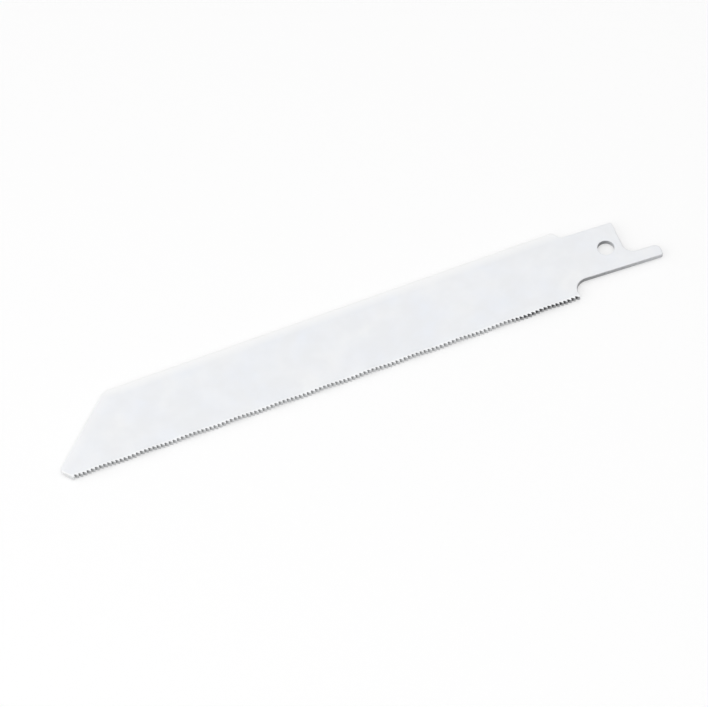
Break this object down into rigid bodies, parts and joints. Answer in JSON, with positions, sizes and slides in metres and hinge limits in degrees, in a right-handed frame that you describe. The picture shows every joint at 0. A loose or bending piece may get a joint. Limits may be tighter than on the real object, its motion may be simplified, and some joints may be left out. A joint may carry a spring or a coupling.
{
  "type": "reciprocating saw blade",
  "caption": "Flat white-painted steel saw blade with a slanted nose, a straight row of fine wavy-set teeth, and a narrow shank with a locking hole and a tongue.",
  "frame": {"origin": "centre of the blade's length and width, at the height of the lowest tooth tip it lies on", "axes": "+X along the blade from the nose towards the shank, +Y across it from the teeth towards the back, +Z through its thickness"},
  "size_m": [0.15, 0.019, 0.0017],
  "materials": {
    "white_paint": "satin off-white paint over steel"
  },
  "bodies": {
    "root": {"blade": "white_paint"}
  },
  "joints": []
}
